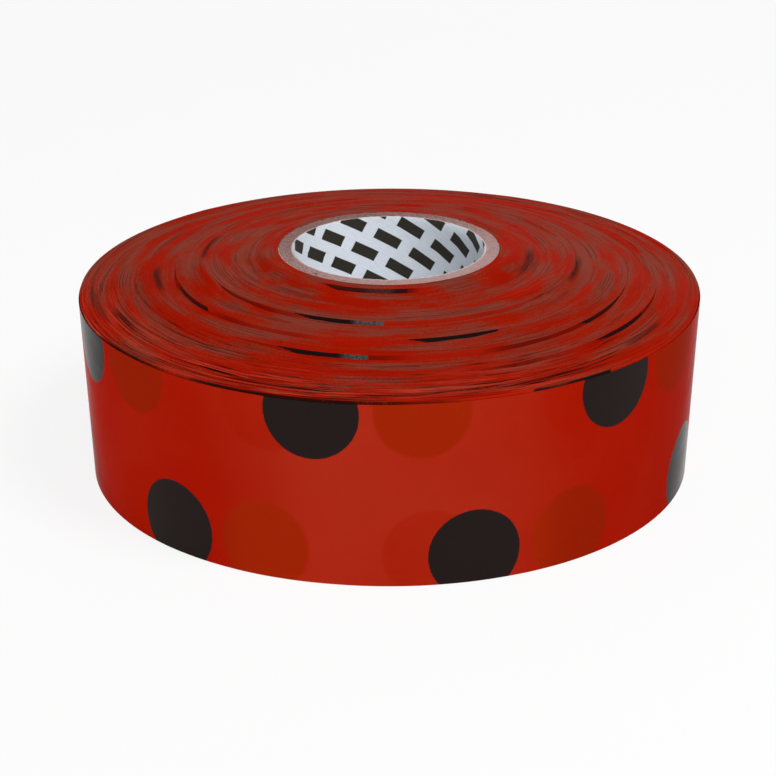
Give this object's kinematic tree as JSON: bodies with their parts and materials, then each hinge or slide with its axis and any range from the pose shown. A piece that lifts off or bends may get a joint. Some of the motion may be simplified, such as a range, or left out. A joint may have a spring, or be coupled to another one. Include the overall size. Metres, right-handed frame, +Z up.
{
  "type": "roll of flagging tape",
  "caption": "Roll of translucent red polka-dot flagging tape, coned, wound on a spiral paperboard core, with a free end that peels off the roll.",
  "frame": {"origin": "centre of the roll's base, on the core's axis", "axes": "+Z up along the core's axis, the side the turns have slid to; -Y towards the viewer of the picture"},
  "size_m": [0.1015, 0.1017, 0.0367],
  "materials": {
    "core_liner": "matt white paper",
    "core_board": "raw board with cut fibrous edges",
    "start_strip": "clear adhesive tape",
    "tape_winding": "stacked film edges, dull red",
    "tape_film": "glossy translucent red film with black dots"
  },
  "bodies": {
    "roll": {"core_liner": "core_liner", "core_ply_1": "core_board", "core_ply_2": "core_board", "core_ply_3": "core_board", "core_ply_4": "core_board", "start_strip": "start_strip", "tape_winding": "tape_winding", "tape_outer_turn": "tape_film"},
    "free_end": {"tape_free_end": "tape_film"}
  },
  "joints": [
    {"name": "free_end_peel", "type": "hinge", "parent": "roll", "child": "free_end", "pos_m": [0.01726, 0.04741, 0.0152], "axis": [-0.0137, -0.0376, -0.9992], "range_deg": [0, 150]}
  ]
}
